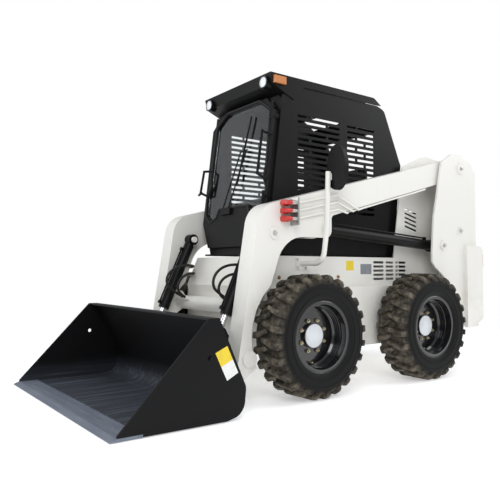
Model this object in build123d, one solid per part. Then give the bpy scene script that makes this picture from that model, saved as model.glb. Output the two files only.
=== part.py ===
from build123d import *
import math
import os

# Skid steer loader: rigid frame, four equal wheels, radial lift arms and a dirt bucket.
# Millimetres. While it is modelled, X = 0 lies midway between the axles, X points
# forward, Y to the machine's left and Z up, with the floor at Z = 0.
# At the end each piece is moved along X, so that the overall box is centred on the origin.

# Driving dimensions
HALF_WHEELBASE = 555.5
TYRE_RADIUS = 386.5
TYRE_INNER_Y = 528
TYRE_OUTER_Y = 792
RIM_R = 212
CHASSIS_Y = 450
CHASSIS_TOP = 892
CHASSIS_BOTTOM = 250
PLATE = 8
ARM_INNER_Y = 460
ARM_OUTER_Y = 595
TOWER_INNER_Y = 612
TOWER_OUTER_Y = 628
REAR_X = -1380
EDGE_X = 1967
BUCKET_HALF = 852
CAB_HALF = 406
CAB_SHEET = 12
CAB_FLOOR = 905
ROOF_TOP = 2115

# Pivots of the linkage, as X, Z in the machine's side view
ARM_PIVOT = (-1100, 1620)
LIFT_BASE = (-861, 991)
LIFT_EYE = (360, 1073)
TILT_TOP = (801, 1027)
BUCKET_PIVOT = (991, 268)
CROSS_TUBE = (862, 560)
TILT_ARM = 170
TILT_ARM_ANGLE = 55
PIN_R = 30
RUNNING = 0.05

# The cab's front leans back by this angle about a line at the height of the knees
FRONT_LEAN = 7.1
FRONT_X = 672
FRONT_Z = 1200

SHIFT_X = -(REAR_X + EDGE_X) / 2
NODES = {}


def keep(name, *solids):
    """Register one node, made of one solid or of several that do not touch."""
    NODES[name] = solids[0] if len(solids) == 1 else Compound(children=list(solids))


def outline(points, radii=0):
    """Closed outline in the side view, each corner rounded by its own radius."""
    return make_face(Plane.XZ * FilletPolyline(*points, radius=radii, close=True))


def slab(face, low_y, high_y):
    """Side view face given its width from low_y to high_y."""
    return Pos(0, (low_y + high_y) / 2, 0) * extrude(face, amount=(high_y - low_y) / 2, both=True)


def block(low, high):
    """Box between two opposite corners."""
    size = [h - l for l, h in zip(low, high)]
    middle = [(h + l) / 2 for l, h in zip(low, high)]
    return Pos(*middle) * Box(*size)


def rod(start, end, radius):
    """Round bar between two points."""
    start, end = Vector(*start), Vector(*end)
    plane = Plane(origin=start, z_dir=end - start)
    return plane * extrude(Circle(radius), amount=(end - start).length)


def bent_rod(points, radius):
    """Round bar along straight runs, with mitred corners."""
    path = Polyline(*points)
    start = Plane(origin=path @ 0, z_dir=path % 0)
    return sweep(start * Circle(radius), path=path, transition=Transition.RIGHT)


def cross_bar(centre, low_y, high_y, radius):
    """Round bar along Y through a side view point."""
    return rod((centre[0], low_y, centre[1]), (centre[0], high_y, centre[1]), radius)


def other_side(solid):
    """The same piece on the machine's right."""
    return solid.mirror(Plane.XZ)


def front_x(z):
    """Where the cab's leaning front plane stands at height z."""
    return FRONT_X - (z - FRONT_Z) * math.tan(math.radians(FRONT_LEAN))


# Tyres: two rows of slanted lugs, the rows half a pitch apart, on a carcass with one
# flat for every lug

LUGS_A_ROW = 24
LUG_HALF_WIDTH = 24
LUG_SLANT = 30
LUG_INNER_END = -14
TREAD_RADIUS = 366
SHOULDER_RADIUS = 335
SHOULDER_Y = 108
WHEEL_Y = (TYRE_INNER_Y + TYRE_OUTER_Y) / 2
HALF_TYRE = (TYRE_OUTER_Y - TYRE_INNER_Y) / 2


def carcass():
    """Closed shell of flat strips between rings of corners."""
    sides = LUGS_A_ROW
    step = 2 * math.pi / sides
    to_corner = 1 / math.cos(step / 2)
    section = [(RIM_R, -98), (SHOULDER_RADIUS, -HALF_TYRE), (TREAD_RADIUS, -SHOULDER_Y),
               (TREAD_RADIUS, SHOULDER_Y), (SHOULDER_RADIUS, HALF_TYRE), (RIM_R, 98)]
    rings = []
    for radius, across in section:
        corner = radius * to_corner
        rings.append([(corner * math.cos((k + 0.5) * step), across, corner * math.sin((k + 0.5) * step))
                      for k in range(sides)])
    strips = []
    for ring, following in zip(rings, rings[1:] + rings[:1]):
        for k in range(sides):
            after = (k + 1) % sides
            strips.append(make_face(Polyline(ring[k], ring[after], following[after], following[k], close=True)))
    return Solid(Shell(strips))


def lug():
    """One slanted bar at the top of the tyre, cut away at the shoulder."""
    tip = HALF_TYRE - 2
    plan = Polyline((-LUG_HALF_WIDTH, LUG_INNER_END), (LUG_HALF_WIDTH, LUG_INNER_END),
                    (LUG_HALF_WIDTH + LUG_SLANT, tip), (LUG_SLANT - LUG_HALF_WIDTH, tip), close=True)
    bar = extrude(Plane.XY.offset(SHOULDER_RADIUS) * make_face(plan), amount=TYRE_RADIUS - SHOULDER_RADIUS)
    shoulder = make_face(Plane.YZ * Polyline((SHOULDER_Y - 4, 400), (SHOULDER_Y - 4, TYRE_RADIUS),
                                             (tip + 6, 350), (tip + 6, 400), close=True))
    return bar - extrude(shoulder, amount=100, both=True)


def tyre():
    pitch = 360 / LUGS_A_ROW
    outer_lug = lug()
    inner_lug = outer_lug.mirror(Plane.XZ)
    lugs = [Rot(0, k * pitch, 0) * outer_lug for k in range(LUGS_A_ROW)]
    lugs += [Rot(0, (k + 0.5) * pitch, 0) * inner_lug for k in range(LUGS_A_ROW)]
    return Pos(0, WHEEL_Y, 0) * carcass().fuse(*lugs)


# Rims: a deep dish with a hub, whose stub axle runs in a housing on the frame

def rim():
    section = Polyline(
        (RIM_R, WHEEL_Y - 101), (224, WHEEL_Y - 112), (200, WHEEL_Y - 112), (188, WHEEL_Y - 5),
        (40, WHEEL_Y - 5), (40, 545), (0, 545), (0, WHEEL_Y + 28), (78, WHEEL_Y + 28),
        (78, WHEEL_Y + 7), (176, WHEEL_Y + 7), (188, WHEEL_Y + 18), (192, WHEEL_Y + 80),
        (200, WHEEL_Y + 112), (224, WHEEL_Y + 112), (RIM_R, WHEEL_Y + 101), close=True)
    return revolve(make_face(section), Axis.Y)


def axle_housing():
    tube = cross_bar((0, 0), 500, 580, 74)
    bore = cross_bar((0, 0), 530, 600, 40 + RUNNING)
    return tube - bore


CORNERS = {"front_left": (1, 1), "front_right": (1, -1), "rear_left": (-1, 1), "rear_right": (-1, -1)}
one_tyre, one_rim, one_housing = tyre(), rim(), axle_housing()
housings = []
for corner, (fore, side) in CORNERS.items():
    at_axle = Pos(fore * HALF_WHEELBASE, 0, TYRE_RADIUS)
    pieces = [one_tyre, one_rim, one_housing]
    if side < 0:
        pieces = [other_side(piece) for piece in pieces]
    keep("tyre_" + corner, at_axle * pieces[0])
    keep("rim_" + corner, at_axle * pieces[1])
    housings.append(at_axle * pieces[2])
keep("axle_housings", *housings)

# Frame: two side plates that rise into the inner uprights, floor, foot well and bulkhead

HOOD_HINGE = (-690, 1268)
HINGE_R = 10


def upright_slots():
    """Slanted air slots beside the cab's rear corner."""
    return [Pos(-700, CHASSIS_Y, 1262 - row * 34) * Rot(0, -14, 0) * Box(150, 40, 15) for row in range(5)]


def grille_slots():
    """Five rows of three slots ahead of the rear wheel."""
    columns = ((-635, -512), (-488, -400), (-376, -262))
    return [block((low, CHASSIS_Y - 20, 847 - row * 31), (high, CHASSIS_Y + 20, 864 - row * 31))
            for row in range(5) for low, high in columns]


def side_plate():
    face = outline(
        [(724, CHASSIS_TOP), (812, 690), (800, 640), (760, CHASSIS_BOTTOM), (-1180, CHASSIS_BOTTOM),
         (-1298, 340), (-1298, 1560), (-1180, 1690), (-880, 1722), (-602, 1610), (-489, CHASSIS_TOP)],
        [0, 12, 12, 60, 20, 10, 40, 90, 160, 30, 10])
    plate = slab(face, CHASSIS_Y - PLATE, CHASSIS_Y)
    for cut in grille_slots() + upright_slots():
        plate -= cut
    return plate + cross_bar(HOOD_HINGE, 384, CHASSIS_Y - 2, HINGE_R / 2)


def chassis():
    inside = CHASSIS_Y - PLATE
    body = side_plate() + other_side(side_plate())
    body += block((-1180, -inside, CHASSIS_BOTTOM), (756, inside, CHASSIS_BOTTOM + PLATE))
    foot_well = outline([(724, CHASSIS_TOP), (812, 690), (800, 640), (760, CHASSIS_BOTTOM),
                         (752, CHASSIS_BOTTOM), (791, 640), (803, 690), (715, CHASSIS_TOP)])
    body += slab(foot_well, -inside, inside)
    body += block((-560, -inside, CHASSIS_BOTTOM), (-548, inside, CHASSIS_TOP))
    return body


keep("chassis", chassis())


def chaincase():
    face = outline([(780, 680), (780, 260), (-820, 260), (-820, 680)], 40)
    return slab(face, CHASSIS_Y, 500)


keep("chaincases", chaincase(), other_side(chaincase()))

# Towers: outer plates around the rear tyres, closed at the back, with the pivot pins

ARCH_RADIUS = 480
DOOR_HINGE = (-1345, -437)
DOOR_KNUCKLES = (560, 1120)
KNUCKLE = 60


def tower():
    arch = Pos(-HALF_WHEELBASE, 0, TYRE_RADIUS) * Cylinder(ARCH_RADIUS, 2000, rotation=(90, 0, 0))
    plate_face = outline(
        [(-859, 1645), (-989, 1727), (-1110, 1722), (-1250, 1668), (-1312, 1600), (-1312, 340),
         (-1180, 340), (-732, 860), (-732, 940), (-756, 1210), (-800, 1385)],
        [12, 40, 30, 60, 50, 10, 10, 0, 0, 60, 60])
    plate = slab(plate_face, TOWER_INNER_Y, TOWER_OUTER_Y) - arch
    back = block((-1312, CHASSIS_Y, 340), (-1300, TOWER_INNER_Y, 1560))
    arm_boss = cross_bar(ARM_PIVOT, TOWER_OUTER_Y, 642, 44)
    lift_boss = cross_bar(LIFT_BASE, TOWER_OUTER_Y, 642, 36)
    return plate + back + arm_boss + lift_boss


def hinge_tower():
    """The right tower, which also carries the fixed half of the rear door's hinges."""
    body = other_side(tower())
    x, y = DOOR_HINGE
    for low in DOOR_KNUCKLES:
        body += rod((x, y, low), (x, y, low + KNUCKLE), HINGE_R)
        body += block((x - 5, y - 40, low + 6), (-1300, y - 6, low + KNUCKLE - 6))
    return body


keep("towers", tower(), hinge_tower())
pins = [cross_bar(ARM_PIVOT, CHASSIS_Y, TOWER_INNER_Y, PIN_R), cross_bar(LIFT_BASE, CHASSIS_Y, TOWER_INNER_Y, PIN_R)]
keep("frame_pins", *pins, *[other_side(pin) for pin in pins])


def rear_quarter():
    face = outline([(-1138, 1000), (-1357, 990), (-1357, 400), (-1220, 335), (-1138, 335)],
                   [20, 40, 20, 10, 10])
    return slab(face, TOWER_OUTER_Y, 662)


keep("rear_quarters", rear_quarter(), other_side(rear_quarter()))
keep("tail_lamps", *[block((-1365, y - 14, 820), (-1357, y + 14, 930)) for y in (-645, 645)])
hitch_hole = rod((-1346, 0, 300), (-1346, 0, 470), 13)
keep("rear_bumper", block((REAR_X, -600, 330), (-1312, 600, 440)) - hitch_hole)
keep("engine_block", block((-1230, -240, 330), (-700, 240, 1000)))


def rear_door():
    """Louvred panel, hinged on the right, with a handle on the left."""
    panel = block((-1340, -425, 450), (-1315, 425, 1225))
    for row in range(8):
        low = 560 + row * 75
        panel -= block((-1360, -320, low), (-1300, 320, low + 30))
    x, y = DOOR_HINGE
    for low in DOOR_KNUCKLES:
        top = low - 4
        panel += rod((x, y, top - KNUCKLE), (x, y, top), HINGE_R)
        panel += block((x, y + 2, top - KNUCKLE + 6), (-1335, y + 30, top - 6))
    return panel + block((-1362, 352, 800), (-1340, 380, 920))


keep("rear_door", rear_door())


def engine_hood():
    face = outline([(-690, 1262), (-1335, 1240), (-1335, 1228), (-690, 1250)])
    knuckle = cross_bar(HOOD_HINGE, 300, 380, HINGE_R)
    return slab(face, -425, 425) + knuckle + other_side(knuckle)


keep("engine_hood", engine_hood())

# Cab: slotted side panels, a leaning front frame with its door, rear wall, floor and roof

SLOT_HEIGHT = 20
SLOT_PITCH = 40
SLOT_ROWS = 17
SLOT_WEB = 16


def slots(rear_end, front_end, top_z, short):
    """Rows of one long and one short slot, swapped in every second row."""
    cuts = []
    for row in range(SLOT_ROWS):
        top = top_z - row * SLOT_PITCH
        split = front_end - short if row % 2 == 0 else rear_end + short
        for low, high in ((rear_end, split - SLOT_WEB / 2), (split + SLOT_WEB / 2, front_end)):
            cuts.append(block((low, CAB_HALF - 30, top - SLOT_HEIGHT), (high, CAB_HALF + 10, top)))
    return cuts


def cab_side():
    face = outline(
        [(front_x(1985), 1985), (front_x(1140), 1140), (front_x(CAB_FLOOR) - 130, CAB_FLOOR), (-540, CAB_FLOOR),
         (-637, 1626), (-618, 1664), (-445, 2036), (-370, 2060), (400, 2060), (480, 1985)],
        [0, 0, 0, 0, 8, 8, 60, 60, 10, 10])
    cuts = slots(40, 440, 1870, 120) + slots(-330, -38, 1866, 100)
    return slab(face, CAB_HALF - CAB_SHEET, CAB_HALF) - Compound(children=cuts)


keep("cab_sides", cab_side(), other_side(cab_side()))

# Local plane of the cab's front: X to the machine's left, Y up the slope, Z outwards
lean = math.radians(FRONT_LEAN)
FRONT = Plane(origin=(FRONT_X, 0, FRONT_Z), x_dir=(0, 1, 0), z_dir=(math.cos(lean), 0, math.sin(lean)))
DOOR_GAP = 3
DOOR_THICK = 30
DOOR_FACE = DOOR_GAP + DOOR_THICK
DOOR_AXIS = (390, 68)


def up_slope(z):
    """Distance along the leaning front at height z."""
    return (z - FRONT_Z) / math.cos(lean)


def on_front(across, z, out):
    """Point at a height and at a distance before the cab's front plane."""
    return FRONT.origin + FRONT.x_dir * across + FRONT.y_dir * up_slope(z) + FRONT.z_dir * out


def front_outline(half, bottom_half, bottom, top, corner, knee):
    """Front view shape: straight sides, chamfered top corners and a foot that tapers in."""
    points = [(-half, up_slope(knee)), (-half, up_slope(top - corner)), (-half + corner, up_slope(top)),
              (half - corner, up_slope(top)), (half, up_slope(top - corner)), (half, up_slope(knee)),
              (bottom_half, up_slope(bottom)), (-bottom_half, up_slope(bottom))]
    return FRONT * make_face(Polyline(*points, close=True))


def window_outline():
    """The door's window: chamfered at the top, with a rounded lobe at each foot."""
    left = [(190, 1962), (318, 1880), (330, 1500), (316, 1420), (354, 1345), (345, 1205),
            (285, 1160), (215, 1190), (190, 1250)]
    radii = [40, 40, 60, 50, 40, 45, 40, 25, 20]
    right = [(-across, z) for across, z in reversed(left)]
    points = [(across, up_slope(z)) for across, z in left + right]
    return FRONT * make_face(FilletPolyline(*points, radius=radii + radii[::-1], close=True))


def cab_frame():
    inner = CAB_HALF - CAB_SHEET
    front = extrude(front_outline(inner, 282, CAB_FLOOR, 1990, 30, 1140), amount=-30)
    front -= extrude(front_outline(362, 262, 985, 1965, 90, 1150), amount=60, both=True)
    rear_face = outline([(-525, CAB_FLOOR), (-625, 1640), (-610, 1668), (-445, 2036), (-455, 2036),
                         (-640, 1640), (-537, CAB_FLOOR)])
    rear = slab(rear_face, -inner, inner) - block((-700, -300, 1320), (-300, 300, 1900))
    floor = block((-537, -inner, CAB_FLOOR), (front_x(CAB_FLOOR) - 20, inner, CAB_FLOOR + CAB_SHEET))
    cheek_face = make_face(Polyline((front_x(1140) - 4, inner, 1140), (front_x(CAB_FLOOR) - 4, 282, CAB_FLOOR),
                                    (front_x(CAB_FLOOR) - 130, inner, CAB_FLOOR), close=True))
    cheek = extrude(cheek_face, amount=5, both=True) - block((200, inner, 880), (720, inner + 20, 1160))
    body = front + rear + floor + cheek + other_side(cheek)
    across, out = DOOR_AXIS
    for low in (1190, 1800):
        body += rod(on_front(across, low, out), on_front(across, low + KNUCKLE, out), HINGE_R)
        body += FRONT * Pos(inner + 1, up_slope(low + KNUCKLE / 2), out / 2) * Box(7, 30, out)
    return body


keep("cab_frame", cab_frame())


def lamp_seat(side, radius):
    """Round lamp body under the visor, facing forward."""
    return rod((640, side * 340, 2052), (690, side * 340, 2058), radius)


def cab_roof():
    outer = outline([(682, ROOF_TOP), (662, 2040), (545, 1990), (480, 1962), (385, 2062), (-345, 2062),
                     (-405, 2066), (-325, ROOF_TOP)], [0, 0, 0, 0, 0, 0, 0, 40])
    inner = outline([(665, 2103), (652, 2050), (545, 2003), (480, 1900), (-500, 1900), (-500, 2050),
                     (-360, 2103)])
    cap = slab(outer, -CAB_HALF - 6, CAB_HALF + 6) - slab(inner, -CAB_HALF, CAB_HALF)
    return cap - lamp_seat(1, 43) - lamp_seat(-1, 43)


keep("cab_roof", cab_roof())


def cab_door():
    """Framed door with its hinge knuckles, grab rail and outside latch."""
    panel = extrude(front_outline(388, 282, 958, 1978, 110, 1140), amount=DOOR_THICK)
    panel -= extrude(window_outline(), amount=80, both=True)
    panel = Location(FRONT.z_dir * DOOR_GAP) * panel
    across, out = DOOR_AXIS
    for low in (1190 + KNUCKLE + 3, 1800 + KNUCKLE + 3):
        panel += rod(on_front(across, low, out), on_front(across, low + KNUCKLE, out), HINGE_R)
        middle = low + KNUCKLE / 2
        panel += rod(on_front(across - 12, middle, DOOR_FACE - 5), on_front(across, middle, out), 6)
    rail = [on_front(374, 1700, DOOR_FACE - 5), on_front(336, 1722, 88),
            on_front(328, 1432, 88), on_front(374, 1392, DOOR_FACE - 5)]
    latch = [on_front(-340, 1552, DOOR_FACE - 5), on_front(-372, 1540, 84),
             on_front(-390, 1376, 84), on_front(-350, 1352, DOOR_FACE - 5)]
    lever = rod(on_front(-380, 1376, 80), on_front(-432, 1366, 72), 9)
    return panel + bent_rod(rail, 9) + bent_rod(latch, 9) + lever


keep("cab_door", cab_door())
glass = extrude(window_outline(), amount=6)
keep("door_glass", Location(FRONT.z_dir * 15) * glass)


def door_wiper():
    """Two parallel arms on a motor block, and the blade that they carry."""
    motor = FRONT * Pos(-70, up_slope(1215), DOOR_FACE + 11) * Box(120, 46, 22)
    arms = [rod(on_front(foot, 1225, DOOR_FACE + 16), on_front(foot + 150, 1640, DOOR_FACE + 10), 5)
            for foot in (-110, -40)]
    blade = rod(on_front(30, 1400, DOOR_FACE + 8), on_front(128, 1880, DOOR_FACE + 8), 7)
    bridge = rod(on_front(30, 1630, DOOR_FACE + 10), on_front(120, 1640, DOOR_FACE + 10), 5)
    return motor + arms[0] + arms[1] + blade + bridge


keep("door_wiper", door_wiper())

SEAT_FLOOR = CAB_FLOOR + CAB_SHEET
keep("seat", block((-420, -240, 1050), (60, 240, 1150)) + block((-480, -230, 1150), (-380, 230, 1620)))
keep("seat_base", block((-500, -300, SEAT_FLOOR), (80, 300, 1050)))


def control_lever(y):
    boot = block((160, y - 40, SEAT_FLOOR), (240, y + 40, 945))
    return boot + rod((200, y, 930), (160, y, 1330), 14)


keep("control_levers", control_lever(-250), control_lever(250))
keep("work_lamps", lamp_seat(1, 42), lamp_seat(-1, 42))
marker = block((560, CAB_HALF + 6, 2045), (660, CAB_HALF + 24, 2095))
keep("marker_lamps", marker, other_side(marker))

# Mirror on its bent pole, bolted to the frame's side

pole_path = FilletPolyline((450, 451, 842), (450, 660, 842), (415, 660, 1060), (400, 660, 1440), radius=[70, 120])
pole = sweep(Plane(origin=pole_path @ 0, z_dir=pole_path % 0) * Circle(17), path=pole_path)
foot_plate = block((400, CHASSIS_Y, 800), (500, CHASSIS_Y + 6, 884))
clamp = block((382, 645, 1385), (400, 675, 1430))
keep("mirror_pole", pole + foot_plate + clamp)
keep("mirror", Pos(365, 712, 1465) * extrude(Plane.YZ * Ellipse(84, 148), amount=17, both=True))

# Lift arms: one closed beam each side, with an ear for the lift cylinder at mid length

TYRE_CLEAR = 418
BOSS_FACE = 606
HOSE_EXITS = (822, 770)
HOSE_EXIT_X = 800
HOSE_EXIT_Y = 440


def arm_face():
    def beside_tyre(angle):
        turn = math.radians(angle)
        return (HALF_WHEELBASE + TYRE_CLEAR * math.cos(turn), TYRE_RADIUS + TYRE_CLEAR * math.sin(turn))

    points = [(-1100, 1709), (910, 1190), (1027, 493), (1085, 175), (1035, 143),
              beside_tyre(-25), beside_tyre(-12), beside_tyre(0), beside_tyre(12), beside_tyre(24),
              beside_tyre(37), beside_tyre(50), (715, 1010), (308, 1012), (308, 1161), (-1100, 1543)]
    radii = [0, 160, 0, 15, 10, 0, 0, 0, 0, 0, 0, 0, 220, 55, 30, 0]
    return outline(points, radii)


def lift_arm():
    arm = slab(arm_face(), ARM_INNER_Y, ARM_OUTER_Y)
    arm += cross_bar(ARM_PIVOT, ARM_INNER_Y, ARM_OUTER_Y, 90)
    arm += cross_bar(TILT_TOP, ARM_OUTER_Y, BOSS_FACE, 37)
    arm += cross_bar(LIFT_EYE, ARM_OUTER_Y, BOSS_FACE, 34)
    arm += cross_bar(BUCKET_PIVOT, ARM_OUTER_Y, BOSS_FACE, 50)
    pocket = outline([(250, 1120), (250, 950), (480, 950), (480, 1120)])
    arm -= slab(pocket, ARM_INNER_Y + 14, ARM_OUTER_Y - 14)
    arm -= cross_bar(ARM_PIVOT, ARM_INNER_Y - 5, ARM_OUTER_Y + 5, PIN_R + RUNNING)
    arm -= cross_bar(BUCKET_PIVOT, ARM_INNER_Y - 5, ARM_OUTER_Y + 5, PIN_R + RUNNING)
    arm += cross_bar(TILT_TOP, 358, ARM_INNER_Y, 22)
    for z in HOSE_EXITS:
        arm += cross_bar((HOSE_EXIT_X, z), HOSE_EXIT_Y, ARM_INNER_Y, 13)
    return arm


keep("lift_arm_left", lift_arm())
keep("lift_arm_right", other_side(lift_arm()))

# Auxiliary line on the left arm: three steel pipes from the quick couplers, over the arm's
# side and back beneath its lower edge

PIPE_R = 7
COUPLER_X = 655
COUPLER_ROWS = (1218, 1168, 1118)


def lower_edge(x):
    """Height of the arm's lower edge behind the ear."""
    return 1161 + (308 - x) * (1543 - 1161) / (308 + 1100)


def arm_pipe(row):
    start_z = COUPLER_ROWS[row]
    bend_x, dive_x = 268 - 6 * row, 60 + 55 * row
    beside = ARM_OUTER_Y + PIPE_R + 4
    under = ARM_OUTER_Y - PIPE_R - 18 * row
    return bent_rod([(COUPLER_X - 2, beside, start_z), (bend_x, beside, start_z + 0.22 * (COUPLER_X - bend_x)),
                     (dive_x, beside, lower_edge(dive_x) - 12), (dive_x - 70, under, lower_edge(dive_x - 70) - 12),
                     (-700, under, lower_edge(-700) - 12)], PIPE_R)


keep("arm_pipes", *[arm_pipe(row) for row in range(3)])


def coupler_block():
    """Bracket plate with two columns of quick couplers that face forward."""
    body = block((COUPLER_X, ARM_OUTER_Y, 1078), (COUPLER_X + 12, 668, 1252))
    for z in COUPLER_ROWS:
        for y in (616, 648):
            body += rod((COUPLER_X + 12, y, z), (COUPLER_X + 52, y, z), 14)
    return body


keep("coupler_block", coupler_block())
caps = [rod((COUPLER_X + 52, y, z), (COUPLER_X + 98, y, z), 20 if y < 630 else 15)
        for z in COUPLER_ROWS for y in (616, 652)]
keep("coupler_caps", *caps)

# Cylinders: a hollow barrel turns on its base pin, and a rod slides in it

TILT_EYE = (BUCKET_PIVOT[0] + TILT_ARM * math.cos(math.radians(TILT_ARM_ANGLE)),
            BUCKET_PIVOT[1] + TILT_ARM * math.sin(math.radians(TILT_ARM_ANGLE)))
PISTON_START = 150
LIFT_Y = (ARM_INNER_Y + ARM_OUTER_Y) / 2
TILT_Y = 410


def cylinder(base, eye, y, outer, bore, rod_r, pin_r, eye_width, end_gap):
    """Barrel with its feed pipe, and rod, between two side view points in the plane at y."""
    length = math.dist(base, eye)
    along = Vector(eye[0] - base[0], 0, eye[1] - base[1]).normalized()
    line = Plane(origin=(base[0], y, base[1]), x_dir=(0, 1, 0), z_dir=along)

    def bar(start, end, radius, up=0):
        return line * Pos(0, up, start) * extrude(Circle(radius), amount=end - start)

    barrel_end = length - end_gap
    barrel = bar(45, barrel_end, outer) + bar(barrel_end - 40, barrel_end, outer + 1.5)
    barrel -= bar(70, barrel_end - 25, bore)
    barrel -= bar(barrel_end - 30, barrel_end + 5, rod_r + RUNNING)
    barrel += cross_bar(base, y - eye_width / 2, y + eye_width / 2, pin_r + 18) + bar(10, 60, outer * 0.8)
    barrel -= cross_bar(base, y - 80, y + 80, pin_r + RUNNING)
    pipe_up = outer + 12
    barrel += bar(90, barrel_end - 20, 6, pipe_up)
    for place in (100, barrel_end - 30):
        barrel += line * Pos(0, outer + 8, place) * Box(20, 24, 22)
    piston = bar(PISTON_START, PISTON_START + 40, bore - RUNNING)
    stem = bar(PISTON_START + 20, length - 10, rod_r)
    eye_ring = cross_bar(eye, y - 18, y + 18, rod_r + 12)
    hole = cross_bar(eye, y - 60, y + 60, 20)
    return barrel, piston + stem + eye_ring - hole


lift_barrel, lift_rod = cylinder(LIFT_BASE, LIFT_EYE, LIFT_Y, 39, 31.5, 22, PIN_R, 76, 90)
tilt_barrel, tilt_rod = cylinder(TILT_TOP, TILT_EYE, TILT_Y, 37.5, 30, 20, 22, 70, 125)
for kind, piece in (("lift_barrel", lift_barrel), ("lift_rod", lift_rod),
                    ("tilt_barrel", tilt_barrel), ("tilt_rod", tilt_rod)):
    keep(kind + "_left", piece)
    keep(kind + "_right", other_side(piece))

# Cross tube between the arms, with the unions that the tilt hoses end in

UNION_ANGLE = math.radians(30)
UNION_REACH = 85
HOSE_END = (CROSS_TUBE[0] + UNION_REACH * math.cos(UNION_ANGLE), CROSS_TUBE[1] + UNION_REACH * math.sin(UNION_ANGLE))
HOSE_ROWS = (302, 268)


def cross_tube():
    tube = cross_bar(CROSS_TUBE, -ARM_INNER_Y, ARM_INNER_Y, 50)
    lug_face = outline([(850, 640), (800, 560), (862, 500), (965, 440), (1000, 560), (955, 660)],
                       [20, 30, 30, 0, 0, 0])
    lug_plate = slab(lug_face, ARM_INNER_Y - 6, ARM_INNER_Y)
    body = tube + lug_plate + other_side(lug_plate)
    for y in HOSE_ROWS + tuple(-y for y in HOSE_ROWS):
        body += rod((CROSS_TUBE[0], y, CROSS_TUBE[1]), (HOSE_END[0], y, HOSE_END[1]), 13)
    return body


keep("arm_cross_tube", cross_tube())

# Tilt hoses: from the arm's inner side in a loop before the cylinder to the cross tube

HOSE_R = 9
HOSE_SHARE = 0.45
HOSE_ROUTES = {
    "upper": [(HOSE_EXIT_X, HOSE_EXIT_Y, 822), (800, 368, 822), (846, 318, 832), (925, 304, 834),
              (1005, 308, 812), (1062, 312, 758), (1064, 308, 688), (1000, 302, 640),
              (HOSE_END[0], 302, HOSE_END[1])],
    "lower": [(HOSE_EXIT_X, HOSE_EXIT_Y, 770), (800, 368, 770), (848, 304, 776), (914, 276, 770),
              (972, 268, 736), (1000, 268, 682), (984, 268, 630), (HOSE_END[0], 268, HOSE_END[1])],
}


def hose_radii(points):
    """Arc at each corner: a share of the shorter run, divided by the tangent of half the turn."""
    radii = []
    for before, corner, after in zip(points, points[1:], points[2:]):
        first, second = Vector(*corner) - Vector(*before), Vector(*after) - Vector(*corner)
        half_turn = math.radians(first.get_angle(second)) / 2
        radii.append(HOSE_SHARE * min(first.length, second.length) / math.tan(half_turn))
    return radii


for row, route in HOSE_ROUTES.items():
    radii = hose_radii(route)
    path = FilletPolyline(*route, radius=radii)
    hose = sweep(Plane(origin=path @ 0, z_dir=path % 0) * Circle(HOSE_R), path=path)
    print(row, "hose: length", round(path.length, 1), "radii", [round(r) for r in radii],
          "volume / section times length", round(hose.volume / (math.pi * HOSE_R**2 * path.length), 4))
    keep("tilt_hose_left_" + row, hose)
    keep("tilt_hose_right_" + row, other_side(hose))

# Quick attach: two frames on the bucket's back, joined by a bar

BACK_LOW = Vector(1202, 0, 190)
BACK_HIGH = Vector(1352, 0, 517)


def quick_attach():
    back_dir = (BACK_HIGH - BACK_LOW).normalized()
    rearward = Vector(-back_dir.Z, 0, back_dir.X)
    low, high = BACK_LOW + back_dir * 10 + rearward * 2, BACK_HIGH - back_dir * 20 + rearward * 2
    low_back, high_back = low + rearward * 22, high + rearward * 22
    frame = slab(outline([(v.X, v.Z) for v in (low, high, high_back, low_back)]), 340, 600)
    lug_face = outline([(low_back.X + 3, low_back.Z + 5), (high_back.X + 3, high_back.Z - 30),
                        (TILT_EYE[0] - 20, TILT_EYE[1] + 40), (TILT_EYE[0] - 42, TILT_EYE[1]),
                        (BUCKET_PIVOT[0] - 44, BUCKET_PIVOT[1]), (BUCKET_PIVOT[0] - 10, BUCKET_PIVOT[1] - 44)],
                       [0, 0, 20, 20, 30, 20])
    for low_y, high_y in ((366, 382), (438, 454)):
        frame += slab(lug_face, low_y, high_y)
    frame += cross_bar(BUCKET_PIVOT, 450, ARM_OUTER_Y + 3, PIN_R)
    bar_face = outline([(v.X, v.Z) for v in (low + back_dir * 90, low + back_dir * 170,
                                             low_back + back_dir * 170, low_back + back_dir * 90)])
    return frame + other_side(frame) + slab(bar_face, -345, 345)


keep("quick_attach", quick_attach())

# Bucket: one bent sheet between two side plates, a lip along the top and a thick edge

SIDE_PLATE = 12
EDGE_BACK = 1800
EDGE_TOP = 20
BOLT_X = 1868
BOLT_PITCH = 222
BOLT_R = 9


def bucket():
    outer = outline([(1432, 549), (1367, 549), (1196, 172), (1210, 30), (1320, 6), (1930, 6), (1930, 30)],
                    [0, 6, 60, 90, 0, 0, 0])
    inner = outline([(1520, 570), (1381, 560), (1207, 172), (1219, 39), (1320, 15), (1990, 15)],
                    [0, 6, 50, 80, 0, 0])
    shell = slab(outer, -BUCKET_HALF, BUCKET_HALF)
    shell -= slab(inner, -BUCKET_HALF + SIDE_PLATE, BUCKET_HALF - SIDE_PLATE)
    lip = outline([(1369, 549), (1420, 549), (1424, 538), (1364, 538)])
    shell += slab(lip, -BUCKET_HALF + SIDE_PLATE, BUCKET_HALF - SIDE_PLATE)
    return shell - cross_bar((1427, 345), -BUCKET_HALF - 5, BUCKET_HALF + 5, 13)


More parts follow.
